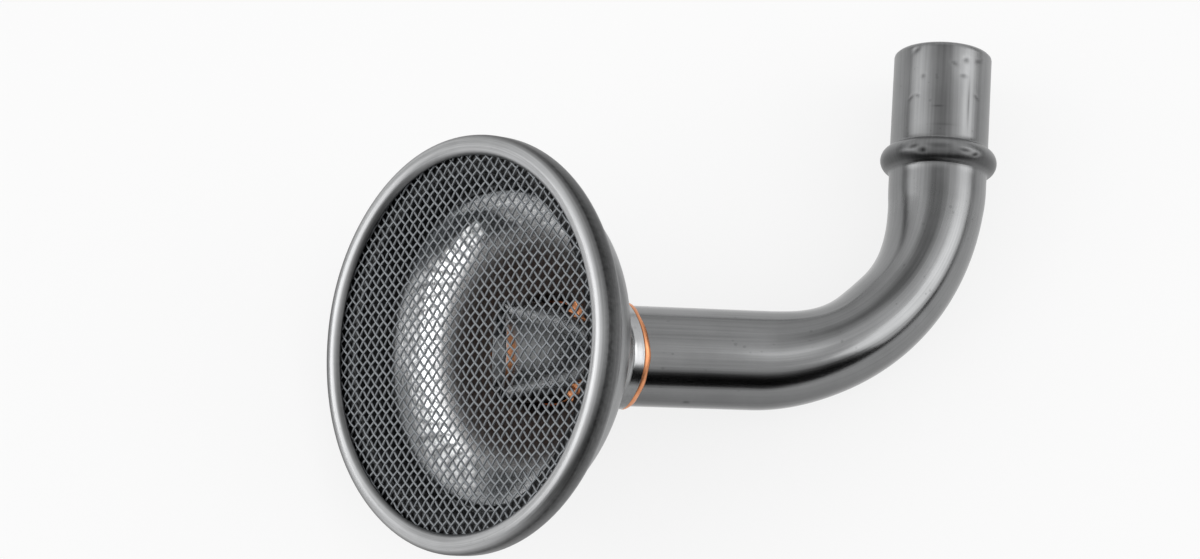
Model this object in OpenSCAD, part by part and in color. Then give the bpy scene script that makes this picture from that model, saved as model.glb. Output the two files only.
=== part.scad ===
// Oil pickup tube: a pressed bell with a rolled rim and a wire screen, on a bent suction tube.
// Millimetres, +Z up. The part lies as it comes to rest on a flat surface.
// It is built on the bell's axis first: z = 0 is the front of the rim, +z runs into the bell.

/* [Bell] */
// Outside diameter over the rolled rim
rim_od = 65.0; // [50:0.5:90]
// Thickness of the rolled rim, seen end on
rim_roll = 3.35; // [2.4:0.05:5]
// Sheet thickness of the bell
sheet = 1.0; // [0.6:0.1:2]
// Outside diameter of the skirt
skirt_od = 55.2; // [40:0.2:80]
// Depth from the front of the rim to the outside of the floor
bell_depth = 15.0; // [10:0.1:30]
// Outside radius of the rounded shoulder
shoulder_r = 6.5; // [2:0.5:12]

/* [Screen] */
// Distance from the front of the rim to the front of the screen
screen_set = 1.25; // [0.8:0.05:2]
// Thickness of the screen over both layers of bars
screen_t = 0.9; // [0.5:0.05:2]
// Width of the flat edge that the rim grips
screen_edge = 2.2; // [1:0.1:4]
// Spacing of the bars
bar_pitch = 5.0; // [4.5:0.1:10]
// Width of a bar
bar_w = 1.5; // [0.8:0.1:3]
// Angle of the bars to the bell's tilt plane
bar_angle = 45; // [0:1:90]

/* [Neck] */
// Tilt of the tube from the bell's axis
neck_tilt = 34.1; // [0:0.1:45]
// Distance from the bell's axis to the tube's axis, at the outside of the floor
neck_shift = 5.5; // [0:0.1:12]
// Distance from the bell's axis to the tube's axis, across the tilt
neck_side = 0.7; // [-3:0.1:3]
// Length of the neck from the floor to its end, along the tube
neck_len = 13.6; // [6:0.1:20]
// Wall of the neck
neck_wall = 0.7; // [0.5:0.1:1.5]
// Height of the raised root that the neck is drawn from
root_h = 2.2; // [1:0.1:4]
// How far the root stands out past the neck
root_out = 3.0; // [1:0.1:5]

/* [Tube] */
// Outside diameter of the tube
tube_od = 15.875; // [10:0.005:25]
// Wall of the tube
tube_wall = 1.0; // [0.6:0.05:2]
// Length of tube inside the neck and the bell
tube_in = 21.6; // [14:0.1:24]
// Straight length from the end of the neck to the bend
leg_len = 19.0; // [5:0.5:80]
// Centreline radius of the bend
bend_r = 31.75; // [20:0.25:60]
// Angle of the bend
bend_angle = 85.650512; // [60:0.000001:100]
// Turn of the bend about the first leg, from the bell's tilt plane
bend_clock = -96.0; // [-180:0.5:180]

/* [Press end] */
// Straight length between the bend and the bead
bead_gap = 2.6; // [0:0.1:20]
// Outside diameter of the upset bead
bead_od = 19.0; // [17:0.1:30]
// Length of the bead along the tube
bead_len = 4.4; // [2:0.1:8]
// Diameter of the end that presses into the pump
press_od = 16.0; // [10:0.05:25]
// Length of the press end
press_len = 16.2; // [8:0.1:30]
// Lead chamfer on the press end
press_lead = 0.6; // [0:0.1:2]

/* [Braze] */
// Gap between neck and tube that the braze fills
braze_gap = 0.1; // [0.05:0.01:0.3]
// How far the outer fillet runs along the tube
fillet_run = 0.9; // [0.5:0.1:3]
// Height of the inner fillet above the floor
inner_h = 0.9; // [0.3:0.1:2]
// Width of the inner fillet around the tube
inner_w = 1.3; // [0.4:0.1:3]

/* [Lying] */
// Turn about the bell's axis, before the part is laid down
lay_spin = -69.6568; // [-180:0.01:180]
// Tip that lays the part down
lay_tip = -136.24; // [-180:0.01:180]
// Turn on the surface, after the part is laid down
lay_turn = -78.4342; // [-180:0.01:180]
// Shift along X that centres the part
lay_x = -32.396; // [-100:0.01:100]
// Shift along Y that centres the part
lay_y = -10.717; // [-100:0.01:100]
// Lift that sets the part on the surface
lay_z = 27.233; // [0:0.01:100]

/* [Hidden] */
$fn = 64;
eps = 0.01;
rim_r = rim_od / 2;
roll_r = rim_roll / 2;
roll_at = rim_r - roll_r;
skirt_r = skirt_od / 2;
skirt_in = skirt_r - sheet;
floor_out = bell_depth;
floor_in = bell_depth - sheet;
shoulder_at = bell_depth - shoulder_r;
ledge_z = screen_set + screen_t;
screen_r = roll_at + 0.2;
tube_r = tube_od / 2;
bore_r = tube_r - tube_wall;
neck_bore = tube_r + braze_gap;
neck_r = neck_bore + neck_wall;
bead_r = bead_od / 2;
press_r = press_od / 2;
bend_z = neck_len + leg_len;
bead_mid = bead_gap + bead_len / 2;
leg_two_len = bead_gap + bead_len + press_len;
bar_n = ceil(screen_r / bar_pitch);

// Lays the finished part on the surface
module laid() {
  translate([lay_x, lay_y, lay_z])
    rotate([0, 0, lay_turn])
      rotate([lay_tip, 0, 0])
        rotate([0, 0, lay_spin])
          children();
}

// Puts z along the tube, with z = 0 where its axis leaves the floor of the bell
module on_tube() {
  translate([neck_shift, neck_side, floor_out])
    rotate([0, neck_tilt, 0])
      children();
}

// Puts z along the second leg, with z = 0 where the bend ends
module on_leg_two() {
  translate([bend_r, 0, bend_z])
    rotate([0, bend_angle, 0])
      translate([-bend_r, 0, 0])
        children();
}

// Ring of round section about z
module round_ring(at, r, z) {
  translate([0, 0, z])
    rotate_extrude()
      translate([at, 0])
        circle(r = r);
}

// Bowl shape of the bell, used for its outside and its inside
module bowl(r, corner, z_open, z_corner) {
  translate([0, 0, z_open])
    cylinder(r = r, h = z_corner - z_open);
  translate([0, 0, z_corner - eps])
    cylinder(r = r - corner, h = corner + eps);
  round_ring(r - corner, corner, z_corner);
}

// Half space below z = 0, wide enough to trim the bend
module below() {
  translate([-4 * bend_r, -4 * bend_r, -8 * bend_r])
    cube(8 * bend_r);
}

// Hollow ring trimmed to the bend, square to both legs
module bend() {
  difference() {
    intersection() {
      translate([bend_r, 0, bend_z])
        rotate([90, 0, 0])
          difference() {
            round_ring(bend_r, tube_r, 0);
            round_ring(bend_r, bore_r, 0);
          }
      on_leg_two()
        below();
    }
    translate([0, 0, bend_z])
      below();
  }
}

// First leg, from the end inside the bell to the bend
module leg_one() {
  translate([0, 0, neck_len - tube_in])
    difference() {
      cylinder(r = tube_r, h = tube_in + leg_len);
      translate([0, 0, -1])
        cylinder(r = bore_r, h = tube_in + leg_len + 2);
    }
}

// Second leg, with the upset bead and the press end
module leg_two() {
  on_leg_two()
    difference() {
      union() {
        cylinder(r = tube_r, h = bead_mid);
        translate([0, 0, bead_mid])
          cylinder(r = press_r, h = leg_two_len - press_lead - bead_mid);
        translate([0, 0, leg_two_len - press_lead])
          cylinder(r1 = press_r, r2 = press_r - press_lead, h = press_lead);
        round_ring(bead_r - bead_len / 2, bead_len / 2, bead_mid);
      }
      translate([0, 0, -1])
        cylinder(r = bore_r, h = leg_two_len + 2);
    }
}

// Rolled rim, ledge, skirt, shoulder, floor and neck, pressed from one sheet
module bell() {
  color([0.62, 0.63, 0.64])
    laid()
      difference() {
        union() {
          round_ring(roll_at, roll_r, roll_r);
          translate([0, 0, ledge_z])
            cylinder(r = roll_at, h = sheet);
          bowl(skirt_r, shoulder_r, ledge_z, shoulder_at);
          translate([neck_shift + root_h / 2, neck_side, floor_out - eps])
            cylinder(r1 = neck_r + root_out, r2 = neck_r + root_out / 3, h = root_h);
          on_tube()
            translate([0, 0, -neck_r])
              cylinder(r = neck_r, h = neck_len + neck_r);
        }
        bowl(skirt_in, shoulder_r - sheet, -1, shoulder_at);
        translate([0, 0, screen_set])
          cylinder(r = screen_r, h = screen_t);
        on_tube()
          translate([0, 0, -neck_r - 4])
            cylinder(r = neck_bore, h = neck_len + neck_r + 8);
      }
}

// One layer of parallel bars
module bars(turn, z) {
  rotate([0, 0, turn])
    for (i = [-bar_n : bar_n])
      translate([i * bar_pitch - bar_w / 2, -rim_r, z])
        cube([bar_w, rim_od, screen_t / 2 + eps]);
}

// Screen: a gripped edge and two crossing layers of bars
module screen() {
  color([0.5, 0.51, 0.52])
    laid()
      union() {
        translate([0, 0, screen_set])
          difference() {
            cylinder(r = screen_r, h = screen_t);
            translate([0, 0, -1])
              cylinder(r = screen_r - screen_edge, h = screen_t + 2);
          }
        intersection() {
          translate([0, 0, screen_set])
            cylinder(r = screen_r - screen_edge / 2, h = screen_t);
          union() {
            bars(bar_angle, screen_set);
            bars(bar_angle + 90, screen_set + screen_t / 2 - eps);
          }
        }
      }
}

// Bent tube with an upset bead and a press end, in one piece
module pickup_tube() {
  color([0.6, 0.61, 0.62])
    laid()
      on_tube()
        rotate([0, 0, bend_clock])
          union() {
            leg_one();
            bend();
            leg_two();
          }
}

// Copper that fills the neck, with a fillet at each end
module braze_joint() {
  color([0.72, 0.38, 0.22])
    laid()
      union() {
        on_tube()
          translate([0, 0, neck_len])
            difference() {
              cylinder(r1 = neck_r, r2 = tube_r + braze_gap, h = fillet_run);
              translate([0, 0, -1])
                cylinder(r = tube_r, h = fillet_run + 2);
            }
        difference() {
          intersection() {
            on_tube()
              translate([0, 0, -neck_r - 4])
                cylinder(r = neck_bore, h = neck_len + neck_r + 4 + eps);
            translate([-rim_r, -rim_r, floor_in - eps])
              cube([rim_od, rim_od, bell_depth + neck_len]);
          }
          on_tube()
            translate([0, 0, -neck_r - 5])
              cylinder(r = tube_r, h = neck_len + neck_r + 10);
        }
        difference() {
          intersection() {
            on_tube()
              translate([0, 0, -neck_r - 6])
                cylinder(r = neck_bore + inner_w, h = 2 * neck_r + 8);
            translate([0, 0, floor_in - inner_h])
              cylinder(r = skirt_in - shoulder_r, h = inner_h);
          }
          on_tube()
            translate([0, 0, -neck_r - 9])
              cylinder(r = tube_r, h = neck_len + neck_r + 14);
        }
      }
}

bell();
screen();
pickup_tube();
braze_joint();
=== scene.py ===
# %% [markdown]
# # An oil pickup tube
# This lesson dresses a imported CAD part: a pressed steel bell with a rolled rim, a woven wire screen, a
# bent suction tube and the copper that joins tube and bell. The CAD model is the fixed frame, in metres,
# and every piece made here is put where the CAD says.

# %% Load the frame
import math

import bpy
import numpy as np
from mathutils import Euler, Matrix, Vector


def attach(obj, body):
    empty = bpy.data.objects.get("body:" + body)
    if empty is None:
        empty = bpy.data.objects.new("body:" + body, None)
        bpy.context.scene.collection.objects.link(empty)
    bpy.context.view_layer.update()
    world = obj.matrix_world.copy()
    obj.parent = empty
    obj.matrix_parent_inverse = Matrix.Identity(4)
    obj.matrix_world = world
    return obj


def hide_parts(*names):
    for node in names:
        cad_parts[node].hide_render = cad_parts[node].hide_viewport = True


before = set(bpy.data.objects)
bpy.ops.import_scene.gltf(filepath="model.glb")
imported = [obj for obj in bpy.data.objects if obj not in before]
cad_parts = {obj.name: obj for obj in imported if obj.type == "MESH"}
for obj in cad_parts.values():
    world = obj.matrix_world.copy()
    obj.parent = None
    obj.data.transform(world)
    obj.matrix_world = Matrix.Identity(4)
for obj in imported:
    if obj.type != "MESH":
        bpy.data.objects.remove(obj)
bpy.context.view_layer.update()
print("CAD nodes:", sorted(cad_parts))

# %% [markdown]
# Most sizes are the ones that the CAD source uses, repeated here in millimetres, because this script reads
# nothing but the frame. The depth of the roll, the flats of the floor and the thin end of the neck follow
# the real part more closely than the CAD does. The bell is described on its own axis: z = 0 is the front
# of the rim and +z runs into the bell. One matrix then lays it on the floor, a second one stands on the
# tube's axis, where it leaves the floor of the bell, and a third one turns that to the bend.

# %% Sizes and places
MM = 0.001
RIM_AT, RIM_ROLL, RIM_DEEP = 30.825, 1.675, 4.9       # circle of the rim, radius and depth of its roll
SKIRT, SHEET, SHOULDER, DEPTH = 27.6, 1.0, 6.5, 15.0
FLAT_INSIDE = 16.2                        # radius of the flat floor, seen from inside
FLAT_OUTSIDE, FULLER, FLAT_MOST = 19.2, 3.2, 21.1     # the same outside, where the press left one side fuller
DOME_EDGE = 20.9                          # where the rings turn to the neck
SCREEN_SET, SCREEN_T = 1.25, 0.9
NECK_TILT, NECK_X, NECK_Y = 34.1, 5.5, 0.7
NECK_LEN, NECK_R, NECK_LIP, NECK_BORE = 13.6, 8.7375, 8.42, 8.0375     # the drawn neck thins towards its end
TUBE_R, BORE_R, TUBE_START, BEND_START = 7.9375, 6.9375, -8.0, 32.6
BEND_R, BEND_ANGLE, BEND_CLOCK = 31.75, math.radians(85.650512), -96.0
BEND_LEN = BEND_R * BEND_ANGLE
LEG_END = BEND_START + BEND_LEN           # where the second leg starts
BEAD_MID, BEAD_TUBE, BEAD_R = 4.8, 2.2, 9.5
PRESS_R, LEG_TWO = 8.0, 23.2
TUBE_END = LEG_END + LEG_TWO
LAY_PLACE, LAY_TURN, LAY_TIP, LAY_SPIN = (-32.396, -10.717, 27.233), -78.4342, -136.24, -69.6568


def turn(axis, degrees):
    return Matrix.Rotation(math.radians(degrees), 4, axis)


LAID = Matrix.Translation(Vector(LAY_PLACE)) @ turn("Z", LAY_TURN) @ turn("X", LAY_TIP) @ turn("Z", LAY_SPIN)
ON_BELL = Matrix.Scale(MM, 4) @ LAID
ON_NECK = ON_BELL @ Matrix.Translation(Vector((NECK_X, NECK_Y, DEPTH))) @ turn("Y", NECK_TILT)
ON_TUBE = ON_NECK @ turn("Z", BEND_CLOCK)


def place(matrix, points):
    m = np.array(matrix)
    return np.asarray(points, float) @ m[:3, :3].T + m[:3, 3]


print("rim centre:", [round(v, 4) for v in place(ON_BELL, [(0, 0, 0)])[0]])

# %% [markdown]
# Bell, tube and braze are all rings joined one to the next, so one helper lofts them. The last ring
# closes on the first, which makes a wall with an outside and an inside in one closed skin. Each vertex
# also keeps its place on the unrolled sheet: two numbers for the way round and one for the way along. The
# steel's drawing lines read that attribute, so they follow the bend and the bell without a seam. A second
# attribute holds what belongs to one spot: rubbed wear and painted highlights, dark nicks and painted
# shade, and copper.

# %% Loft helper
AROUND = 160
ANGLES = np.linspace(0, 2 * math.pi, AROUND, endpoint=False)
FIRST_HALF = np.clip(np.sin(ANGLES), 0, 1)      # rises and falls over the first half turn


def show(name, data):
    """A new object in the scene, for a mesh, a lamp or a camera."""
    made = bpy.data.objects.new(name, data)
    bpy.context.scene.collection.objects.link(made)
    return made


def keep_vectors(mesh, name, values):
    data = mesh.attributes.new(name, "FLOAT_VECTOR", "POINT").data
    data.foreach_set("vector", np.asarray(values, np.float32).ravel())


def loft(name, rings, material, round_at, along, marks_and_shading=None):
    """A closed skin through rings of points, with the steel's attributes on it."""
    rings = np.asarray(rings)
    count, sides = rings.shape[:2]
    row, col = np.meshgrid(np.arange(count), np.arange(sides), indexing="ij")
    nxt_row, nxt_col = (row + 1) % count, (col + 1) % sides
    faces = np.stack([row * sides + col, row * sides + nxt_col,
                      nxt_row * sides + nxt_col, nxt_row * sides + col], -1).reshape(-1, 4)
    verts = rings.reshape(-1, 3)
    mesh = bpy.data.meshes.new(name)
    mesh.from_pydata(verts.tolist(), [], faces.tolist())
    a, b, c = (verts[np.r_[faces[:, i], faces[:, j]]] for i, j in ((0, 0), (1, 2), (2, 3)))
    if np.einsum("ij,ij->", a, np.cross(b, c)) < 0:
        mesh.flip_normals()
    unrolled = np.zeros_like(rings)
    unrolled[..., 0] = round_at * MM * np.cos(ANGLES)
    unrolled[..., 1] = round_at * MM * np.sin(ANGLES)
    unrolled[..., 2] = np.asarray(along)[:, None] * MM
    keep_vectors(mesh, "unrolled", unrolled)
    keep_vectors(mesh, "marks_and_shading", np.zeros_like(rings) if marks_and_shading is None else marks_and_shading)
    mesh.shade_smooth()
    mesh.materials.append(material)
    piece = show(name, mesh)
    print(name, len(verts), "vertices,", 2 * len(faces), "triangles")
    return piece


def arc(r, z, radius, start, stop, steps):
    t = np.radians(np.linspace(start, stop, steps))
    return list(zip(r + radius * np.cos(t), z + radius * np.sin(t)))


print("rings have", AROUND, "points")

# %% [markdown]
# Steel that is drawn or pressed carries fine lines in the direction it was worked, cloudy patches from
# handling, and small dark pits. All three steels here share that, so it is one shader group with its own
# strengths in each material. The second attribute adds to it: where the steel is rubbed the lines grow
# stronger and its shade changes, which also paints highlights, and a dark mark, a real nick or painted
# shade, is a dull hollow. The group puts out a shade for the colour, a value for the roughness, a height
# for the bump and the share of copper.

# %% Node helpers


def add(tree, kind, inputs=None, **settings):
    node = tree.nodes.new(kind)
    for key, value in settings.items():
        setattr(node, key, value)
    for key, value in (inputs or {}).items():
        if isinstance(value, bpy.types.NodeSocket):
            tree.links.new(value, node.inputs[key])
        else:
            node.inputs[key].default_value = value
    return node


def calc(tree, operation, a, b=0.0, c=0.0, clamp=False):
    return add(tree, "ShaderNodeMath", {0: a, 1: b, 2: c}, operation=operation, use_clamp=clamp).outputs[0]


def mix_colour(tree, fac, a, b):
    return add(tree, "ShaderNodeMix", {"Factor": fac, 6: a, 7: b}, data_type="RGBA").outputs[2]


def noise(tree, where, scale, detail, roughness=0.5):
    return add(tree, "ShaderNodeTexNoise", {"Vector": where, "Scale": scale, "Detail": detail,
                                            "Roughness": roughness}).outputs["Fac"]


def band(tree, value, low, high, start=0.0, stop=1.0):
    """A soft step from one value to another."""
    ends = {"Value": value, "From Min": low, "From Max": high, "To Min": start, "To Max": stop}
    return add(tree, "ShaderNodeMapRange", ends, interpolation_type="SMOOTHSTEP").outputs[0]


def new_group(name, sockets_in, sockets_out):
    group = bpy.data.node_groups.new(name, "ShaderNodeTree")
    for label, kind in sockets_in:
        group.interface.new_socket(label, in_out="INPUT", socket_type="NodeSocket" + kind)
    for label in sockets_out:
        group.interface.new_socket(label, in_out="OUTPUT", socket_type="NodeSocketFloat")
    return group, group.nodes.new("NodeGroupInput").outputs, group.nodes.new("NodeGroupOutput")


print("helpers ready")

# %% The worked-steel group
worked, given, result = new_group(
    "worked_steel",
    [("Lines At", "Vector"), ("Place", "Vector"), ("Marks And Shading", "Vector"),
     ("Lines", "Float"), ("Clouds", "Float"), ("Pits", "Float"), ("Rub And Sheen Shade", "Float")],
    ["Shade", "Dull", "Height", "Copper"])
lines = noise(worked, given["Lines At"], scale=1.0, detail=4.0)
clouds = noise(worked, given["Place"], scale=160.0, detail=5.0, roughness=0.6)
speckle = noise(worked, given["Place"], scale=1500.0, detail=2.0)
grains = add(worked, "ShaderNodeTexVoronoi", {"Vector": given["Place"], "Scale": 900.0}).outputs["Distance"]
pit_size = noise(worked, given["Place"], scale=420.0, detail=2.0)
pits = calc(worked, "LESS_THAN", grains, calc(worked, "MULTIPLY_ADD", pit_size, 1.1, -0.52, clamp=True))
pits = calc(worked, "MULTIPLY", pits, given["Pits"])
spots = add(worked, "ShaderNodeSeparateXYZ", {"Vector": given["Marks And Shading"]}).outputs
# X holds rubbed wear, satin and painted highlights; Y holds real nicks and scores, and painted shade; Z
# copper.
rub_and_sheen = spots["X"]
dark = calc(worked, "MULTIPLY", spots["Y"], calc(worked, "MULTIPLY_ADD", speckle, 0.16, 0.92), clamp=True)
line_gain = calc(worked, "MULTIPLY", given["Lines"], calc(worked, "MULTIPLY_ADD", rub_and_sheen, 1.6, 1.0))
line_part = calc(worked, "MULTIPLY", calc(worked, "SUBTRACT", lines, 0.5), line_gain)
cloud_part = calc(worked, "MULTIPLY", calc(worked, "SUBTRACT", clouds, 0.5), given["Clouds"])
both = calc(worked, "ADD", line_part, cloud_part)
shade = calc(worked, "MULTIPLY_ADD", rub_and_sheen, given["Rub And Sheen Shade"], calc(worked, "ADD", 1.0, both))
shade = calc(worked, "MULTIPLY", shade, calc(worked, "MULTIPLY_ADD", dark, -0.95, 1.0))
shade = calc(worked, "MULTIPLY", shade, calc(worked, "MULTIPLY_ADD", pits, -0.6, 1.0))
hollow = calc(worked, "ADD", pits, dark)
dull = calc(worked, "ADD", both, calc(worked, "MULTIPLY_ADD", hollow, 0.3, rub_and_sheen))
height = calc(worked, "SUBTRACT", line_part, hollow)
grainy = calc(worked, "MULTIPLY_ADD", speckle, 1.6, 0.35)
copper_share = calc(worked, "MULTIPLY", spots["Z"], grainy, clamp=True)
for key, value in (("Shade", shade), ("Dull", dull), ("Height", height), ("Copper", copper_share)):
    worked.links.new(value, result.inputs[key])
print("group:", worked.name)

# %% [markdown]
# Each steel is the same Principled metal with its own grey and its own sheen. The bell is a paler satin
# with lines that run round it, and its rolled rim is duller than its inside. The tube is a darker drawn
# steel with lines that run along it, and handling made it duller towards the press end. The wire is
# plain. The grey of a metal is what it reflects, so it is set by the brightness of the real one under
# soft light.

# %% Steel materials
BUMP_DEPTH = 0.0002                       # metres
HANDLED_RUN = 0.052, 0.092                # metres along the tube where its finish turns from bright to dull
CLEAN_COPPER, STAINED_COPPER = (0.95, 0.42, 0.20, 1.0), (0.52, 0.21, 0.10, 1.0)


def metal(name):
    """A new metal, its node tree and its shader."""
    material = bpy.data.materials.new(name)
    material.use_nodes = True
    shader = material.node_tree.nodes["Principled BSDF"]
    shader.inputs["Metallic"].default_value = 1.0
    return material, material.node_tree, shader


def steel(name, grey, roughness, line_scale, lines, clouds, pits, bump, rub_and_sheen_shade=0.0, rubbed_dull=0.35,
          unrolled=True, cool=0.01, handled=None):
    material, tree, shader = metal(name)
    here = add(tree, "ShaderNodeTexCoord").outputs["Object"]
    where, worn_and_shaded = here, (0.0, 0.0, 0.0)
    if unrolled:
        where, worn_and_shaded = (add(tree, "ShaderNodeAttribute", attribute_name=kept).outputs["Vector"]
                       for kept in ("unrolled", "marks_and_shading"))
    stretched = add(tree, "ShaderNodeMapping", {"Vector": where, "Scale": line_scale}).outputs["Vector"]
    marks_and_shading = add(tree, "ShaderNodeGroup", {"Lines At": stretched, "Place": here, "Marks And Shading": worn_and_shaded, "Lines": lines,
                                          "Clouds": clouds, "Pits": pits, "Rub And Sheen Shade": rub_and_sheen_shade},
                node_tree=worked).outputs
    colour = (grey, grey * (1 + cool), grey * (1 + 2 * cool), 1.0)
    tone = add(tree, "ShaderNodeHueSaturation", {"Value": marks_and_shading["Shade"], "Color": colour}).outputs["Color"]
    tone = mix_colour(tree, marks_and_shading["Copper"], tone, CLEAN_COPPER)
    if handled:
        run = add(tree, "ShaderNodeSeparateXYZ", {"Vector": where}).outputs["Z"]
        roughness = band(tree, run, *HANDLED_RUN, roughness, handled)
    rough = calc(tree, "MULTIPLY_ADD", marks_and_shading["Dull"], rubbed_dull, roughness, clamp=True)
    dent = add(tree, "ShaderNodeBump", {"Strength": bump, "Distance": BUMP_DEPTH, "Height": marks_and_shading["Height"]})
    tree.links.new(tone, shader.inputs["Base Color"])
    tree.links.new(rough, shader.inputs["Roughness"])
    tree.links.new(dent.outputs["Normal"], shader.inputs["Normal"])
    print("material:", name)
    return material


bell_satin = steel("bell_satin_steel", grey=0.62, roughness=0.30, line_scale=(60, 60, 5200), lines=0.28,
                   clouds=0.20, pits=0.15, bump=0.10, rub_and_sheen_shade=-0.30, rubbed_dull=0.16)
tube_drawn = steel("tube_drawn_steel", grey=0.24, roughness=0.17, line_scale=(2600, 2600, 45), lines=0.45,
                   clouds=0.30, pits=0.25, bump=0.06, rub_and_sheen_shade=2.0, rubbed_dull=0.20, handled=0.34)
wire_plain = steel("screen_wire_steel", grey=0.33, roughness=0.60, line_scale=(700, 700, 700), lines=0.20,
                   clouds=0.20, pits=0.0, bump=0.03, unrolled=False, cool=0.05)

# %% [markdown]
# Brazing copper runs into the gap between neck and tube and freezes as a thin bright ring with a wavy
# edge. Copper keeps a warm colour only where it is clean, so a noise turns parts of it towards a darker
# brown.

# %% Copper material
copper, tree, shader = metal("braze_copper")
here = add(tree, "ShaderNodeTexCoord").outputs["Object"]
stain = noise(tree, here, scale=420.0, detail=4.0)
ripple = add(tree, "ShaderNodeBump", {"Strength": 0.2, "Distance": BUMP_DEPTH, "Height": stain})
tree.links.new(mix_colour(tree, stain, CLEAN_COPPER, STAINED_COPPER), shader.inputs["Base Color"])
tree.links.new(calc(tree, "MULTIPLY_ADD", stain, 0.25, 0.25), shader.inputs["Roughness"])
tree.links.new(ripple.outputs["Normal"], shader.inputs["Normal"])
print("material:", copper.name)

# %% [markdown]
# The bell is one pressed sheet. A spin would make the round part, but the neck leaves the floor at a
# slant, so the whole bell is lofted instead: rings go round the rolled rim, down the skirt and the
# shoulder, across the floor to the neck's root, up the slanted neck, and back along the inside. At the
# root a curve with three control points bends the sheet from the floor into the neck, as the press tool
# does. The end of a drawn neck isn't level: it is longest at two sides, and dips between them.

# %% Bell profile
LEDGE = SCREEN_SET + SCREEN_T             # where the screen is gripped
GROOVE = RIM_AT + 0.2                     # bottom of the groove that holds the screen
HOLLOW, LEDGE_ROUND, NIB = 1.0, 0.7, 0.15     # small rounds: behind the roll, at the ledge and in the groove


def flat_radius(angle, inset):
    """Where the flat floor turns into the oval shoulder, on the outside or inset by the sheet."""
    if inset:
        return np.full(len(angle), FLAT_INSIDE)
    return np.minimum(FLAT_OUTSIDE - FULLER * np.sin(angle), FLAT_MOST)


roll = arc(RIM_AT, RIM_ROLL, RIM_ROLL, -160, -90, 10)[:-1] + arc(RIM_AT, RIM_ROLL, RIM_ROLL, -90, 0, 16)
roll += arc(RIM_AT, RIM_DEEP - RIM_ROLL, RIM_ROLL, 0, 90, 12)
outside = [(RIM_AT - HOLLOW, RIM_DEEP)] + arc(SKIRT + HOLLOW, RIM_DEEP + HOLLOW, HOLLOW, 270, 180, 7)
outside += [(SKIRT, z) for z in (6.4, 7.4)]
inside = [(SKIRT - SHEET, z) for z in (7.2, 5.6, 4.2)]
inside += arc(SKIRT - SHEET + LEDGE_ROUND, LEDGE + LEDGE_ROUND, LEDGE_ROUND, 180, 270, 7)
inside += [(r, LEDGE) for r in (28.2, 29.6, GROOVE - NIB)]
inside += [(GROOVE, LEDGE - NIB), (GROOVE, SCREEN_SET + NIB)]
inside += [(r, SCREEN_SET) for r in (GROOVE - NIB, RIM_AT - 0.9, RIM_AT - 1.33)]
inside += [(RIM_AT - 1.5, SCREEN_SET - 0.03)]
print("bell profile:", len(roll), "points on the roll,", len(outside), "outside,", len(inside), "inside")

# %% Neck and root rings
ROOT_OUT, ROOT_UP = 4.2, 6.0              # how far the root's curve runs on the floor and up the neck
ROOT_STAND, ROOT_LIFT = 2.0, 2.6          # how far the root stands out from the neck, and above the floor
FLARE = 2.8                               # how far the flare inside runs, on the floor and up the neck
LONGEST, DIP = math.radians(4.7), 1.7     # where the neck's end is longest, and its dip a quarter turn on
LIP_UP = NECK_LEN + 0.1 - DIP * np.sin(ANGLES - LONGEST) ** 2      # the end of the neck, all round
LEAN = math.radians(NECK_TILT)
NECK_FOOT = np.array([NECK_X, NECK_Y, 0])


def neck_point(radius, up):
    """Points of a ring round the neck, given in the bell's frame."""
    x, y, z = radius * np.cos(ANGLES), radius * np.sin(ANGLES), up + np.zeros(AROUND)
    return np.stack([NECK_X + x * math.cos(LEAN) + z * math.sin(LEAN), NECK_Y + y,
                     DEPTH - x * math.sin(LEAN) + z * math.cos(LEAN)], -1)


def floor_cut(radius, level):
    """How far along the neck each line of such a cylinder meets a level below the floor's outside."""
    return (radius * np.cos(ANGLES) * math.sin(LEAN) - level) / math.cos(LEAN)


def outward(points):
    """Directions on the floor, away from the neck."""
    away = (points - NECK_FOOT) * (1, 1, 0)
    return away / np.linalg.norm(away, axis=1)[:, None]


def on_dome(points, inset):
    """The same points, lifted to the sheet."""
    x, y = points[:, 0], points[:, 1]
    flat = flat_radius(np.arctan2(y, x), inset)
    share = np.clip((np.hypot(x, y) - flat) / (SKIRT - inset - flat), 0, 1)
    return np.c_[x, y, DEPTH - SHOULDER + (SHOULDER - inset) * np.sqrt(1 - share ** 2)]


def curve(start, corner, stop, s):
    return start * (1 - s) ** 2 + corner * 2 * s * (1 - s) + stop * s ** 2


def root_rings(radius, level, out, up, steps, stand=0.0, lift=0.0):
    """Rings that leave the floor and turn up the neck, over a root that may stand out."""
    foot = neck_point(radius, floor_cut(radius, level))
    corner = neck_point(radius + stand, floor_cut(radius + stand, level) + lift)
    stop = neck_point(radius, floor_cut(radius, level) + up)
    start = on_dome(foot + outward(foot) * out, level)
    return [curve(start, corner, stop, s) for s in np.linspace(0, 1, steps)]


def level_ring(r, z):
    return np.stack([r * np.cos(ANGLES), r * np.sin(ANGLES), np.full(AROUND, z)], -1)


def shoulder_rings(turns, inset):
    """Rings of the oval shoulder. A turn of 0 is at the skirt, and a quarter turn at the floor."""
    flat, high = flat_radius(ANGLES, inset), SHOULDER - inset
    wide = SKIRT - inset - flat
    return [level_ring(flat + wide * math.cos(t), DEPTH - SHOULDER + high * math.sin(t)) for t in turns]


WAVE = 0.05 * np.sin(3 * ANGLES + 0.7) + 0.04 * np.sin(7 * ANGLES + 2.0)    # how far the rim is out of round
WAVE_DEPTH, WAVE_FROM, WAVE_TO = 3.3, 27.0, 30.0      # it fades with depth, and in from the rim


def rim_ring(r, z):
    """A ring of the bell, a little uneven near the rolled rim."""
    near = np.clip(1 - z / WAVE_DEPTH, 0, 1) * np.clip((r - WAVE_FROM) / (WAVE_TO - WAVE_FROM), 0, 1)
    return level_ring(r + WAVE * near, z)


def between(a, b, shares):
    return [a * (1 - s) + b * s for s in shares]


print("root curve:", ROOT_OUT, "mm on the floor,", ROOT_UP, "mm up the neck")
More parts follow.
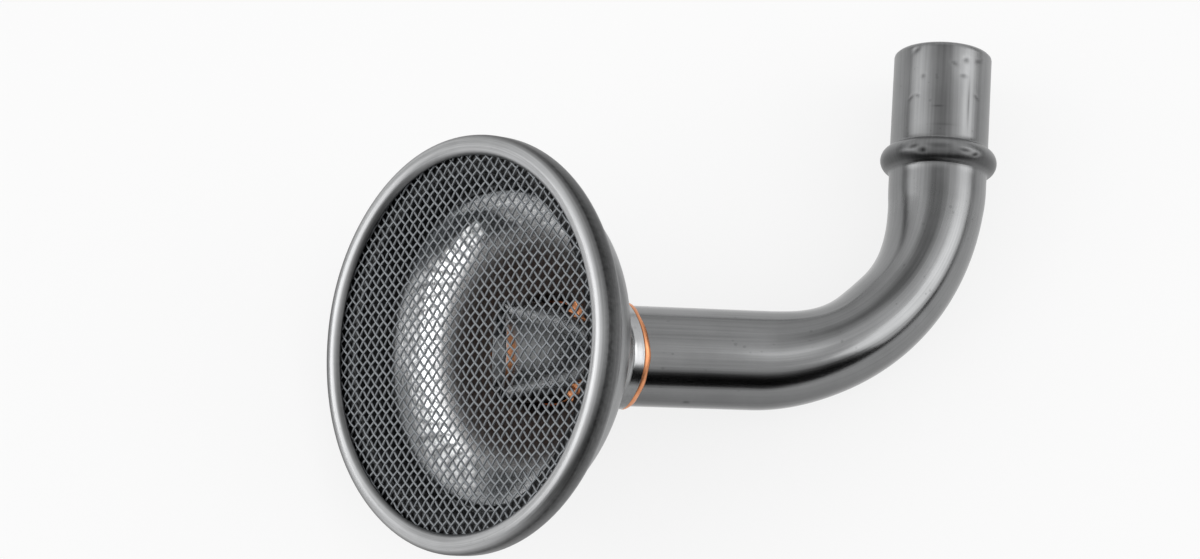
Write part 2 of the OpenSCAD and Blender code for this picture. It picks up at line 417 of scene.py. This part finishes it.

# %% [markdown]
# The sheet isn't the same everywhere. The roll was dressed to a satin, and the shoulder inside is
# smoother. Shade is painted onto the sheet: on the roll's outer edge and in the gap at its inner edge, on
# the outside of the bell and the neck, and inside on the skirt, the bore and the floor. The shoulder inside
# carries a painted highlight, and the heat of brazing left the floor dull and faintly brownish. Each ring
# carries these as marks: satin above 0, or polish with its painted highlight below 0, painted shade, and
# the tint of copper. First come the rings of the outside.

# %% Bell outside
SHOULDER_TURNS = np.linspace(0, 1.15, 18)
ROLL_SATIN = 0.60
# The dark share on the outside of the bell and round the root is painted shade.
BACK_SATIN, ROOT_SATIN, BACK_SHADE = 0.4, 0.3, 0.43
# The neck's dark share is painted shade, deeper on the side that lies low.
NECK_POLISH, NECK_SHADE = -0.9, 0.50 + 0.35 * FIRST_HALF     # the neck is darker on the side that lies low
# The painted shade on the roll's outer edge reaches further round on the side opposite the neck's tilt.
FAR_SIDE = (0.5 - 0.5 * np.cos(ANGLES)) ** 3      # 1 opposite the neck's tilt
FAR_SHIFT = 48                            # degrees that the dark edge reaches further round the roll there
ROUND_AT = 30.0                           # radius at which the drawing lines of the bell are unrolled
rings, tones = [], []


def sheet(new, satin=0.0, dark=0.0, tint=0.0):
    """Adds rings with their tone. A tone is one number, one for each ring or one for each point."""
    each = [tone if np.ndim(tone) == 2 else np.reshape(tone, (-1, 1)) for tone in (satin, dark, tint)]
    rings.extend(new)
    tones.extend(np.stack([np.broadcast_to(tone, (len(new), AROUND)) for tone in each], -1))


root_outside = root_rings(NECK_R, 0.0, ROOT_OUT, ROOT_UP, 12, ROOT_STAND, ROOT_LIFT)
round_roll = np.array([math.degrees(math.atan2(z - RIM_ROLL, r - RIM_AT)) for r, z in roll])
# Painted shadow in the gap at the roll's inner edge, and painted shade on its outer edge.
inner_edge_shadow = np.interp(round_roll, (-160, -140, -122), (0.8, 0.6, 0.0))
outer_edge_shade = np.interp(round_roll[:, None] + FAR_SHIFT * FAR_SIDE,
                       (-54, -31, -13, 32, 62), (0.0, 0.70, 0.96, 0.90, 0.45))
sheet([rim_ring(r, z) for r, z in roll], ROLL_SATIN, np.maximum(inner_edge_shadow[:, None], outer_edge_shade))
sheet([rim_ring(r, z) for r, z in outside] + shoulder_rings(SHOULDER_TURNS, 0.0), BACK_SATIN, BACK_SHADE)
to_root = between(level_ring(DOME_EDGE, DEPTH), root_outside[0], (0.25, 0.5, 0.75))
sheet([on_dome(ring, 0.0) for ring in to_root], ROOT_SATIN, BACK_SHADE)
up_root = np.linspace(0, 1, len(root_outside))
sheet(root_outside, ROOT_SATIN + (NECK_POLISH - ROOT_SATIN) * up_root,
      BACK_SHADE + (NECK_SHADE - BACK_SHADE) * up_root[:, None])
neck = between(root_outside[-1], neck_point(NECK_LIP, LIP_UP - 0.25), (0.25, 0.5, 0.75, 0.95))
neck += [neck_point(NECK_LIP - cut, LIP_UP - back) for cut, back in ((0.0, 0.2), (0.05, 0.05), (0.15, 0.0))]
sheet(neck, NECK_POLISH, NECK_SHADE[None])
sheet([neck_point(NECK_BORE, LIP_UP - back) for back in (0.0, 0.2)])
print("bell outside:", len(rings), "rings")

# %% [markdown]
# Then the rings go back down the bore of the neck, over its flare to the dull floor with its painted
# shade, round the polished shoulder with its painted highlight and along the skirt with its painted shade
# to the groove that grips the screen. The last one closes on the first.

# %% Bell inside and the whole bell
FLOOR_TINT = 0.02                         # share of copper that brazing left on the floor
root_inside = root_rings(NECK_BORE, SHEET, FLARE, FLARE, 9)
# The bore, the flare and the floor inside are darkened with painted shade; the floor also has a faint copper
# tint from brazing.
sheet(between(neck_point(NECK_BORE, LIP_UP), root_inside[-1], (0.4, 0.8)) + root_inside[::-1],
      satin=0.3, dark=1.0, tint=FLOOR_TINT)
from_root = between(root_inside[0], level_ring(DOME_EDGE, DEPTH), (0.2, 0.4, 0.6, 0.8))
sheet([on_dome(ring, SHEET) for ring in from_root],
      satin=(0.2, 0.2, 0.1, -0.6), dark=(1.0, 0.99, 0.88, 0.30), tint=FLOOR_TINT)
inner_turns = SHOULDER_TURNS[::-1]
# The shoulder inside is smoother and brightened by a painted highlight, and painted shadow fades from the
# skirt onto it.
polish_and_highlight = np.interp(inner_turns, (0.0, 0.22, 0.34), (0.5, 0.0, -1.4))
shadow = np.interp(inner_turns, (0.0, 0.22, 0.34), (0.95, 0.85, 0.0))
sheet(shoulder_rings(inner_turns, SHEET), polish_and_highlight, shadow)
# The skirt inside, the ledge and the groove are darkened with painted shade.
sheet([rim_ring(r, z) for r, z in inside], satin=0.5, dark=0.90)
rings = np.array([place(ON_BELL, ring) for ring in rings])
sheet_run = np.r_[0, np.cumsum(np.linalg.norm(np.diff(rings[:, 0], axis=0), axis=1))] / MM
bell = loft("bell_shell", rings, bell_satin, ROUND_AT, sheet_run, tones)
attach(bell, "root")
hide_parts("bell")

# %% [markdown]
# The tube is drawn steel, bent cold. A bend like that is never a perfect ring: its inside gathers and
# flattens most in two places, and its outside sinks a little. A curve with a round bevel can't do that,
# so the tube is a loft along its own path, with a section that changes in the bend. The sinking is a
# table by angle.

# %% Tube path
SINK_AT = np.radians((0, 8, 18, 30, 41, 55, 66, 78, 86))
SINK_INSIDE = (0.0, 0.10, 1.00, 1.80, 1.45, 1.90, 1.25, 0.30, 0.0)
SINK_OUTSIDE = (0.0, 0.06, 0.36, 0.43, 0.43, 0.43, 0.42, 0.25, 0.0)
SOFT = 6                                  # degrees to each side that share a depth, because the metal flows
SOFTEN = np.radians(np.linspace(-SOFT, SOFT, 2 * SOFT + 1))
FLATTEN, WIDEN = 1.5, 0.02                # how narrow the sunk strip is, and how much a sunk section widens


def tube_frame(s):
    """Place, direction inward and angle bent so far, at a distance along the tube from the bell's floor."""
    a = min(max((s - BEND_START) / BEND_R, 0.0), BEND_ANGLE)
    inward, ahead = np.array([math.cos(a), 0, -math.sin(a)]), np.array([math.sin(a), 0, math.cos(a)])
    straight = min(s - BEND_START, 0.0) + max(0.0, s - LEG_END)
    return np.array([BEND_R, 0, BEND_START]) - BEND_R * inward + ahead * straight, inward, a


def tube_ring(s, radius):
    """One ring of the tube, flattened where the tube is bent. It widens upwards only, away from the floor."""
    centre, inward, a = tube_frame(s)
    bent = np.clip(min(a, BEND_ANGLE - a) / math.radians(SOFT), 0, 1)     # the legs aren't sunk
    sink_in, sink_out = (bent * np.interp(a + SOFTEN, SINK_AT, depth).mean()
                         for depth in (SINK_INSIDE, SINK_OUTSIDE))
    c, sn = np.cos(ANGLES), np.sin(ANGLES)
    across = radius * c - sink_in * np.clip(c, 0, 1) ** FLATTEN + sink_out * np.clip(-c, 0, 1) ** FLATTEN
    wide = radius * sn * (1 + WIDEN * sink_in * FIRST_HALF)
    return centre + across[:, None] * inward + wide[:, None] * np.array([0, 1.0, 0])


print("bend:", round(BEND_LEN, 1), "mm long, sinks", max(SINK_INSIDE), "mm inside")

# %% Tube profile
# Distance along the tube and radius of each ring
BEAD_TURNS = np.radians(np.linspace(158, 22, 25))
BEAD_END = LEG_END + BEAD_MID + BEAD_TUBE
outer = [(s, TUBE_R) for s in np.arange(TUBE_START + 0.3, BEND_START, 0.45)]
outer += [(s, TUBE_R) for s in np.linspace(BEND_START, LEG_END + 1.5, 110)]
outer += [(LEG_END + 2.2, TUBE_R + 0.02), (LEG_END + 2.65, TUBE_R + 0.12)]
outer += [(LEG_END + BEAD_MID + BEAD_TUBE * math.cos(t), BEAD_R - BEAD_TUBE + BEAD_TUBE * math.sin(t))
          for t in BEAD_TURNS]
outer += [(BEAD_END, PRESS_R + 0.06), (BEAD_END + 0.3, PRESS_R)]
outer += [(s, PRESS_R) for s in np.arange(BEAD_END + 0.6, TUBE_END - 0.7, 0.28)]
outer += [(TUBE_END - 0.45, PRESS_R - 0.08), (TUBE_END - 0.12, PRESS_R - 0.42), (TUBE_END, PRESS_R - 0.6)]
inner = [(TUBE_END, BORE_R + 0.12), (TUBE_END - 0.15, BORE_R)]
inner += [(s, BORE_R) for s in np.linspace(TUBE_END - 2, LEG_END + 1, 6)]
inner += [(s, BORE_R) for s in np.linspace(LEG_END, BEND_START, 40)]
inner += [(s, BORE_R) for s in np.linspace(BEND_START - 4, TUBE_START + 0.2, 8)]
inner += [(TUBE_START, BORE_R + 0.15), (TUBE_START, TUBE_R - 0.25), (TUBE_START + 0.08, TUBE_R - 0.08)]
print("tube profile:", len(outer), "rings outside,", len(inner), "inside")

# %% [markdown]
# The end that goes into the pump shows that it was handled and pressed: dark nicks, a scored line, a
# scuffed patch and two flats on the bead. The start of the bend has bright streaks from the bending tool,
# and a lick of copper sits on the edge inside the bell. Painted shade darkens the bead, most on its side
# towards the bend, and the underside of the tube up to the end of the bend, and painted light brightens
# the tube inside the bell. Each is a soft spot at its own place along and round the tube. A nick is also
# a real dent, so it catches the light from any side.

# %% Places of the wear and of the painted light and shade
# Degrees round, mm past the bend, size round and size along.
# A nick adds its depth, and a rubbed place its strength.
NICKS = ((40, 22.0, 0.55, 0.55, 0.10), (100, 20.4, 0.45, 0.40, 0.10), (85, 19.5, 0.40, 0.35, 0.08),
         (119, 20.7, 0.55, 0.35, 0.08), (97, 17.6, 0.60, 0.30, 0.06), (118, 14.4, 0.35, 0.35, 0.06),
         (34, 13.8, 0.30, 0.40, 0.05), (50, 17.3, 0.30, 0.35, 0.05), (43, 14.1, 0.30, 0.30, 0.05),
         (47, 5.1, 0.70, 0.35, 0.10), (57, 4.3, 0.60, 0.45, 0.14), (98, 4.7, 1.10, 0.30, 0.12),
         (111, 4.3, 0.50, 0.35, 0.08), (161, 21.3 - LEG_END, 0.35, 0.35, 0.06))
SCORES = ((105.5, 12.8, 0.22, 3.6), (76, 9.1, 1.6, 0.12), (69, 12.1, 0.8, 0.10))
# The last rubbed place is painted light: it brightens the tube inside the bell, which the screen shades.
RUBS = ((100, 19.5, 3.2, 3.4, 0.22), (104, 11.5, 1.6, 4.5, 0.14), (42, 18.0, 2.0, 5.0, 0.16),
        (50, 10.0, 2.0, 3.0, 0.12), (94, 35.0 - LEG_END, 0.75, 6.0, 0.25),
        (92, 42.0 - LEG_END, 0.6, 4.0, 0.12), (85, -3.5 - LEG_END, 9.0, 5.5, 1.0))
COPPER_EDGE = (104, TUBE_START + 0.5 - LEG_END, 3.0, 0.75)
MARK_DARK, COPPER_STRENGTH = 0.5, 3.0     # how dark a nick or a score is, and how firm the lick of copper
NICK_LEAN = 0.8                           # nicks lean to either side or stand straight, in turn
# Painted shade on the bead, most on its side towards the bend.
BEAD_SHADE_AT, BEAD_SHADE = (-2.6, -1.6, -0.6, 0.6, 2.6), (0.0, 0.60, 0.50, 0.10, 0.0)     # along the bead
# Painted shade on the tube's underside, up to the end of the bend.
UNDER_SHADE_AT, UNDER_SHADE_WIDE, UNDER_SHADE_DARK = 166, 3.4, 0.48     # the dark underside: degrees round, size round, strength
UNDER_SHADE_FADE = 20.0                          # mm of bend over which it ends
print("wear:", len(NICKS), "nicks,", len(SCORES), "scores,", len(RUBS), "rubbed places")

# %% Wear and painted light and shade on the tube


def spot(s, radius, degrees, at, wide, long, lean=0.0):
    """A soft spot on one ring of the tube, which may lean to one side."""
    turn_away = (ANGLES - math.radians(degrees) + math.pi) % (2 * math.pi) - math.pi
    return np.exp(-((radius * turn_away + lean * (s - at)) / wide) ** 2 - ((s - at) / long) ** 2)


wear_and_shading = np.zeros((len(outer) + len(inner), AROUND, 3))
dents = np.zeros((len(outer) + len(inner), AROUND))
for row, (s, radius) in enumerate(outer):
    past = s - LEG_END
    for number, (degrees, at, wide, long, depth) in enumerate(NICKS):
        mark = spot(past, radius, degrees, at, wide, long, (number % 3 - 1) * NICK_LEAN)
        wear_and_shading[row, :, 1] += MARK_DARK * mark
        dents[row] += depth * mark
    for score in SCORES:
        wear_and_shading[row, :, 1] += MARK_DARK * spot(past, radius, *score)
    for *rub, amount in RUBS:
        wear_and_shading[row, :, 0] += amount * spot(past, radius, *rub)
    wear_and_shading[row, :, 1] += np.interp(past - BEAD_MID, BEAD_SHADE_AT, BEAD_SHADE)
    under_shade = spot(past, radius, UNDER_SHADE_AT, past, UNDER_SHADE_WIDE, 1.0)
    wear_and_shading[row, :, 1] += UNDER_SHADE_DARK * under_shade * np.clip(-past / UNDER_SHADE_FADE, 0, 1)
    wear_and_shading[row, :, 2] = COPPER_STRENGTH * spot(past, radius, *COPPER_EDGE)
wear_and_shading = wear_and_shading.clip(0, 1)
print("deepest dent:", round(dents.max(), 2), "mm")

# %% Tube
profile = outer + inner
rings = [place(ON_TUBE, tube_ring(s, radius - dent)) for (s, radius), dent in zip(profile, dents)]
tube = loft("tube_wall", rings, tube_drawn, TUBE_R, [s for s, _ in profile], wear_and_shading)
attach(tube, "root")
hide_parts("pickup_tube")

# %% [markdown]
# The braze has three parts: a thin ring outside, where the copper crept out of the neck, a fillet round
# the tube inside the bell, and the film between them. Its edge is wavy, because molten copper wets the
# steel unevenly, so a few sine waves of different length move the edge of each ring.

# %% Braze
SKIN = 0.003                              # keeps the copper's film off the steel on both sides
COPPER_PATCHES = ((307, 6), (317, 5), (42, 6), (54, 5), (180, 20))    # degrees round the neck, size
FILM_OUT, FILM_IN = NECK_BORE - SKIN, TUBE_R + SKIN
LAP, PROUD, BULGE = 0.12, 0.03, 0.7       # how the outer ring laps over the neck, stands proud and bulges
FLARE_STEPS = 20
EDGE_WAVES = ((0.22, 2, 0.4), (0.16, 5, 1.9), (0.12, 11, 0.8))      # height, waves in a turn, start
uneven = 0.5 + sum(high * np.sin(waves * ANGLES + start) for high, waves, start in EDGE_WAVES)
creep = 0.60 + 0.35 * uneven              # along the tube, outside
patches = sum(np.exp(-((np.degrees(ANGLES) - at) / wide) ** 2) for at, wide in COPPER_PATCHES)
deep = 2.3 - 1.9 * patches                # how far inside the flare the copper stays, away from patches
rings = []
for s in np.linspace(0, 1, 9):
    high = (NECK_LIP + PROUD - TUBE_R) * (1 - s ** 2) ** BULGE
    rings.append(neck_point(TUBE_R + high + 0.02, LIP_UP - LAP + (creep + LAP) * s))
rings.append(neck_point(FILM_IN, LIP_UP + creep))
rings += [neck_point(FILM_IN, LIP_UP - back) for back in (0.5, 3.0)]
inner_cut = floor_cut(TUBE_R, SHEET)
low = neck_point(TUBE_R + 0.02, inner_cut + deep - 0.5 - 0.4 * uneven)
flare = np.array(root_rings(NECK_BORE, SHEET, FLARE, FLARE, FLARE_STEPS + 1))
climb = np.clip(0.85 - 0.75 * patches, 0.0, 1.0)      # share of the flare's curve that stays bare
picked = flare[np.round(climb * FLARE_STEPS).astype(int), np.arange(AROUND)]
far = picked + (low - picked) * 0.02
corner = neck_point(TUBE_R + 0.1, inner_cut + deep + 0.2)
rings += [neck_point(FILM_IN, inner_cut + deep)] + [curve(low, corner, far, s) for s in np.linspace(0, 1, 6)]
rings += [neck_point(FILM_OUT, floor_cut(NECK_BORE, SHEET) + 3.2), neck_point(FILM_OUT, LIP_UP - 0.3)]
rings = [place(ON_BELL, ring) for ring in rings]
braze = loft("braze_ring", rings, copper, TUBE_R, np.linspace(0, 12, len(rings)))
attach(braze, "root")
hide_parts("braze_joint")

# %% [markdown]
# The screen is plain woven wire cloth. Each wire goes over one crossing wire and under the next, so its
# height is a cosine of the distance along it, and its neighbour has the opposite sign. That is a rule, so
# Geometry Nodes make it: one straight wire is copied across the disc, cut to the circle, bent by the rule
# and given a round section. The same wires turned by a right angle, with the sign changed, make the other
# half of the weave. The cloth was rolled flat, so a wire rises less than its own radius and bites into
# the one it crosses.

# %% Weave tree
weave = bpy.data.node_groups.new("wire_weave", "GeometryNodeTree")
for label, kind in (("Cloth Radius", "Float"), ("Pitch", "Float"), ("Wire Radius", "Float"),
                    ("Crimp", "Float"), ("Wires", "Int"), ("Points", "Int"), ("Unevenness", "Float"),
                    ("Seed", "Float"), ("Wire Steel", "Material")):
    weave.interface.new_socket(label, in_out="INPUT", socket_type="NodeSocket" + kind)
weave.interface.new_socket("Geometry", in_out="OUTPUT", socket_type="NodeSocketGeometry")
given = weave.nodes.new("NodeGroupInput").outputs


def wire_family(sign):
    """All wires of one direction, as curves along x."""
    one = add(weave, "GeometryNodeCurvePrimitiveLine", {"Start": (-1, 0, 0), "End": (1, 0, 0)}).outputs[0]
    one = add(weave, "GeometryNodeResampleCurve", {"Curve": one, "Count": given["Points"]}).outputs[0]
    half = calc(weave, "MULTIPLY", calc(weave, "SUBTRACT", given["Wires"], 1.0), -0.5)
    first_at = calc(weave, "MULTIPLY", half, given["Pitch"])
    first = add(weave, "ShaderNodeCombineXYZ", {"Y": first_at}).outputs[0]
    step = add(weave, "ShaderNodeCombineXYZ", {"Y": given["Pitch"]}).outputs[0]
    rows = add(weave, "GeometryNodeMeshLine", {"Count": given["Wires"], "Start Location": first,
                                               "Offset": step}).outputs[0]
    copies = add(weave, "GeometryNodeInstanceOnPoints", {"Points": rows, "Instance": one}).outputs[0]
    wires = add(weave, "GeometryNodeRealizeInstances", {"Geometry": copies}).outputs[0]
    here = add(weave, "GeometryNodeInputPosition").outputs[0]
    at = add(weave, "ShaderNodeSeparateXYZ", {"Vector": here}).outputs
    room = calc(weave, "SUBTRACT", calc(weave, "POWER", given["Cloth Radius"], 2.0),
                calc(weave, "POWER", calc(weave, "ABSOLUTE", at["Y"]), 2.0))
    x = calc(weave, "MULTIPLY", at["X"], calc(weave, "SQRT", room))
    k = calc(weave, "DIVIDE", math.pi, given["Pitch"])
    rise = calc(weave, "MULTIPLY", calc(weave, "COSINE", calc(weave, "MULTIPLY", x, k)),
                calc(weave, "COSINE", calc(weave, "MULTIPLY", at["Y"], k)))
    z = calc(weave, "MULTIPLY", rise, calc(weave, "MULTIPLY", given["Crimp"], sign))
    spot_at = add(weave, "ShaderNodeCombineXYZ", {"X": x, "Y": at["Y"], "Z": z}).outputs[0]
    return add(weave, "GeometryNodeSetPosition", {"Geometry": wires, "Position": spot_at}).outputs[0]


def shaken(curves):
    """The cloth is never perfectly even, so a slow noise pushes the wires sideways."""
    here = add(weave, "GeometryNodeInputPosition").outputs[0]
    drift = add(weave, "ShaderNodeTexNoise", {"Vector": here, "W": given["Seed"], "Scale": 180.0,
                                              "Detail": 1.0}, noise_dimensions="4D").outputs["Color"]
    push = add(weave, "ShaderNodeVectorMath", {0: drift, 1: (0.5, 0.5, 0.5)}, operation="SUBTRACT").outputs[0]
    push = add(weave, "ShaderNodeVectorMath", {0: push, 1: (1, 1, 0)}, operation="MULTIPLY").outputs[0]
    push = add(weave, "ShaderNodeVectorMath", {0: push, "Scale": given["Unevenness"]}, operation="SCALE")
    return add(weave, "GeometryNodeSetPosition", {"Geometry": curves, "Offset": push.outputs[0]}).outputs[0]


turned = add(weave, "GeometryNodeTransform", {"Geometry": wire_family(-1.0),
                                              "Rotation": Euler((0, 0, math.pi / 2))})
cloth = add(weave, "GeometryNodeJoinGeometry")
weave.links.new(wire_family(1.0), cloth.inputs[0])
weave.links.new(turned.outputs[0], cloth.inputs[0])
section = add(weave, "GeometryNodeCurvePrimitiveCircle", {"Resolution": 5, "Radius": given["Wire Radius"]})
solid = add(weave, "GeometryNodeCurveToMesh", {"Curve": shaken(cloth.outputs[0]), "Fill Caps": True,
                                               "Profile Curve": section.outputs[0]}).outputs[0]
solid = add(weave, "GeometryNodeSetShadeSmooth", {"Geometry": solid, "Shade Smooth": True}).outputs[0]
solid = add(weave, "GeometryNodeRealizeInstances", {"Geometry": solid}).outputs[0]
solid = add(weave, "GeometryNodeSetMaterial", {"Geometry": solid, "Material": given["Wire Steel"]}).outputs[0]
add(weave, "NodeGroupOutput", {"Geometry": solid})
print("weave tree:", len(weave.nodes), "nodes")

# %% [markdown]
# The tree runs once on an empty mesh. Its inputs are set by identifier before the first evaluation, the
# result becomes a plain mesh, and the mesh is turned to the bell and set in the groove behind the rolled
# lip.

# %% Screen
WIRE, CRIMP, PITCH, CLOTH_R, CLOTH_TURN = 0.37, 0.08, 1.411, 30.75, 43.7
WIRE_POINTS, UNEVEN, SEED = 177, 0.22, 3.0      # points along a wire, and the noise that pushes it sideways
WIRES = 2 * int(CLOTH_R / PITCH) + 1
loom = show("loom", bpy.data.meshes.new("loom"))
modifier = loom.modifiers.new("weave", "NODES")
modifier.node_group = weave
settings = {"Cloth Radius": CLOTH_R * MM, "Pitch": PITCH * MM, "Wire Radius": WIRE / 2 * MM,
            "Crimp": CRIMP * MM, "Wires": WIRES, "Points": WIRE_POINTS, "Unevenness": UNEVEN * MM,
            "Seed": SEED, "Wire Steel": wire_plain}
for item in weave.interface.items_tree:
    if item.in_out == "INPUT":
        modifier[item.identifier] = settings[item.name]
cloth_mesh = bpy.data.meshes.new_from_object(loom.evaluated_get(bpy.context.evaluated_depsgraph_get()))
bpy.data.objects.remove(loom)
to_groove = Matrix.Translation(Vector((0, 0, SCREEN_SET + SCREEN_T / 2))) @ turn("Z", CLOTH_TURN)
cloth_mesh.transform(ON_BELL @ to_groove @ Matrix.Scale(1 / MM, 4))
screen = show("screen_cloth", cloth_mesh)
print("screen:", WIRES, "wires each way,", sum(len(p.vertices) - 2 for p in cloth_mesh.polygons), "triangles")
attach(screen, "root")
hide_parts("screen")

# %% [markdown]
# The floor is a pale sheet with a pool of light painted on it. To the camera, and in the metal's
# reflections, most of its white near the part is its own, so it stays white, and the rest is lit, so the
# part keeps a soft shadow. Further away the painted pool falls off to grey, which keeps the low
# reflections inside the bell dark.

# %% Floor
# The pool of light is painted: the sheet's own white and its paleness both fall off with distance.
POOL = (0.12, 0.30)                       # metres from the middle where the white begins and ends to fade
OWN_WHITE = (0.80, 0.0)                   # share of white that is the sheet's own, in the pool and far away
PAPER = (0.90, 0.55)                      # how pale the sheet is, in the pool and far away
FLOOR, BELOW = 6.0, 0.0001                # metres: half the sheet's width, and its depth under the part
floor_white = bpy.data.materials.new("floor_white")
floor_white.use_nodes = True
tree = floor_white.node_tree
tree.nodes.clear()
own = add(tree, "ShaderNodeEmission", {"Color": (1.0, 1.0, 1.0, 1.0), "Strength": 1.0}).outputs[0]
path = add(tree, "ShaderNodeLightPath").outputs
seen = calc(tree, "MAXIMUM", path["Is Glossy Ray"], path["Is Transmission Ray"])
seen = calc(tree, "MAXIMUM", path["Is Camera Ray"], seen)
here = add(tree, "ShaderNodeTexCoord").outputs["Object"]
away = add(tree, "ShaderNodeVectorMath", {0: here}, operation="LENGTH").outputs["Value"]
share = calc(tree, "MULTIPLY", seen, band(tree, away, *POOL, *OWN_WHITE))
lit = add(tree, "ShaderNodeBsdfDiffuse", {"Color": band(tree, away, *POOL, *PAPER)}).outputs[0]
blend = add(tree, "ShaderNodeMixShader", {0: share, 1: lit, 2: own})
add(tree, "ShaderNodeOutputMaterial", {"Surface": blend.outputs[0]})
floor_mesh = bpy.data.meshes.new("floor")
corners = [(FLOOR * x, FLOOR * y, 0) for x, y in ((-1, -1), (1, -1), (1, 1), (-1, 1))]
floor_mesh.from_pydata(corners, [], [(0, 1, 2, 3)])
floor_mesh.materials.append(floor_white)
floor = show("floor", floor_mesh)
floor.location.z = -BELOW
print("floor:", 2 * FLOOR, "m square")

# %% [markdown]
# Polished metal shows the room, so the room is part of the look. The real one had a soft light on each
# side, a pale ceiling that reaches down to the back, a darker patch overhead where the camera stood and a
# dark room in front. Low down at both sides it was dark too. Panels round the part could make that room,
# but they would stand in the way of other views, so the world paints it by direction.

# %% World
GLOWS = (((0.889, -0.199, 0.413), 0.52), ((-0.892, -0.12, 0.437), 0.55))      # direction, and what it adds
GLOW_EDGE = (0.84, 0.98)                  # cosines between which a glow grows to its full strength
LEVEL = 1.2                               # brightness of the ceiling at its palest
PATCH_DARK, LOW_DARK = 0.70, 0.95         # share of light that the overhead patch and the low sides lose
PATCH_SIDE, PATCH_FRONT, PATCH_BACK = (0.20, 0.55), (-0.25, 0.12), (0.45, 0.85)     # soft edges of the patch
PATCH_REST = 0.25                         # share of the patch that is left at the back
LOW_SIDE, LOW_TOP = (0.55, 0.85), (0.10, 0.32)        # soft edges of the low sides
# The ceiling from front to back over the top: the share of the way, and how bright it is there
CEILING = ((0.0, 0.0), (0.14, 0.0), (0.19, 0.10), (0.24, 0.66), (0.32, 0.70), (0.40, 0.76),
           (0.50, 1.0), (0.72, 0.86), (1.0, 0.68))
world = bpy.data.worlds.new("studio")
bpy.context.scene.world = world
world.use_nodes = True
tree = world.node_tree
backdrop = tree.nodes["Background"]
towards = add(tree, "ShaderNodeTexCoord").outputs["Generated"]
way = add(tree, "ShaderNodeSeparateXYZ", {"Vector": towards}).outputs
over = calc(tree, "ARCTAN2", way["Z"], calc(tree, "MULTIPLY", way["Y"], -1.0))
ceiling = add(tree, "ShaderNodeValToRGB", {"Fac": calc(tree, "DIVIDE", over, math.pi)})
for position, value in CEILING[1:-1]:
    ceiling.color_ramp.elements.new(position)
for element, (position, value) in zip(ceiling.color_ramp.elements, CEILING):
    element.position, element.color = position, (value, value, value, 1.0)
aside = calc(tree, "ABSOLUTE", way["X"])
patch = calc(tree, "MULTIPLY", band(tree, aside, *PATCH_SIDE, 1.0, 0.0), band(tree, way["Y"], *PATCH_FRONT))
patch = calc(tree, "MULTIPLY", patch, band(tree, way["Y"], *PATCH_BACK, 1.0, PATCH_REST))
low_side = calc(tree, "MULTIPLY", band(tree, aside, *LOW_SIDE), band(tree, way["Z"], *LOW_TOP, 1.0, 0.0))
light = calc(tree, "MULTIPLY", ceiling.outputs["Color"], LEVEL)
light = calc(tree, "MULTIPLY", light, calc(tree, "MULTIPLY_ADD", patch, -PATCH_DARK, 1.0))
for direction, amount in GLOWS:
    facing = add(tree, "ShaderNodeVectorMath", {0: towards, 1: direction}, operation="DOT_PRODUCT")
    glow = band(tree, facing.outputs["Value"], *GLOW_EDGE)
    light = calc(tree, "MULTIPLY_ADD", glow, amount, light)
light = calc(tree, "MULTIPLY", light, calc(tree, "MULTIPLY_ADD", low_side, -LOW_DARK, 1.0))
tree.links.new(light, backdrop.inputs["Color"])
backdrop.inputs["Strength"].default_value = 1.0
print("world:", world.name)

# %% [markdown]
# A painted room lights the part evenly and gives it hardly any shadow. Two large area lamps add that. A wide
# lamp makes a soft edge, and each one stands close to the glow of its side, so shadow and reflection agree.

# %% Lamps
LAMP_WIDE, LAMP_HIGH, LAMP_AWAY = 1.0, 0.75, 1.2      # metres
LEFT_LAMP, RIGHT_LAMP = (-0.89, -0.12, 0.44), (0.89, -0.20, 0.42)      # directions from the part


def soft_light(name, towards, watts):
    lamp = bpy.data.lights.new(name, "AREA")
    lamp.shape, lamp.size, lamp.size_y, lamp.energy = "RECTANGLE", LAMP_WIDE, LAMP_HIGH, watts
    holder = show(name, lamp)
    aim = Vector(towards).normalized()
    holder.location = aim * LAMP_AWAY
    holder.rotation_euler = aim.to_track_quat("Z", "Y").to_euler()
    print("lamp:", name, watts, "W")


soft_light("soft_left", LEFT_LAMP, 2.2)
soft_light("soft_right", RIGHT_LAMP, 2.6)

# %% [markdown]
# The camera stands where the photograph was taken from, found by fitting the outline of the CAD model to
# it: about 0.4 m away and well above the part. The lens is long, so the bell isn't stretched.

# %% Camera
EYE = (0.004687, -0.131123, 0.374866)     # metres
TIP, SLANT, SWING = 20.3942, 2.9138, -1.4743      # degrees about x, y and z, from looking straight down
SENSOR, LENS = 36.0, 72.0                 # millimetres
camera = show("camera", bpy.data.cameras.new("camera"))
camera.data.sensor_fit, camera.data.sensor_width, camera.data.lens = "HORIZONTAL", SENSOR, LENS
camera.data.clip_start = 0.01
camera.location = EYE
camera.rotation_euler = [math.radians(angle) for angle in (TIP, SLANT, SWING)]
bpy.context.scene.camera = camera
bpy.context.scene.view_settings.view_transform = "Standard"
print("camera:", [round(v, 3) for v in camera.location])

# %% [markdown]
# The last call updates the view layer.

# %% Finish
bpy.context.view_layer.update()
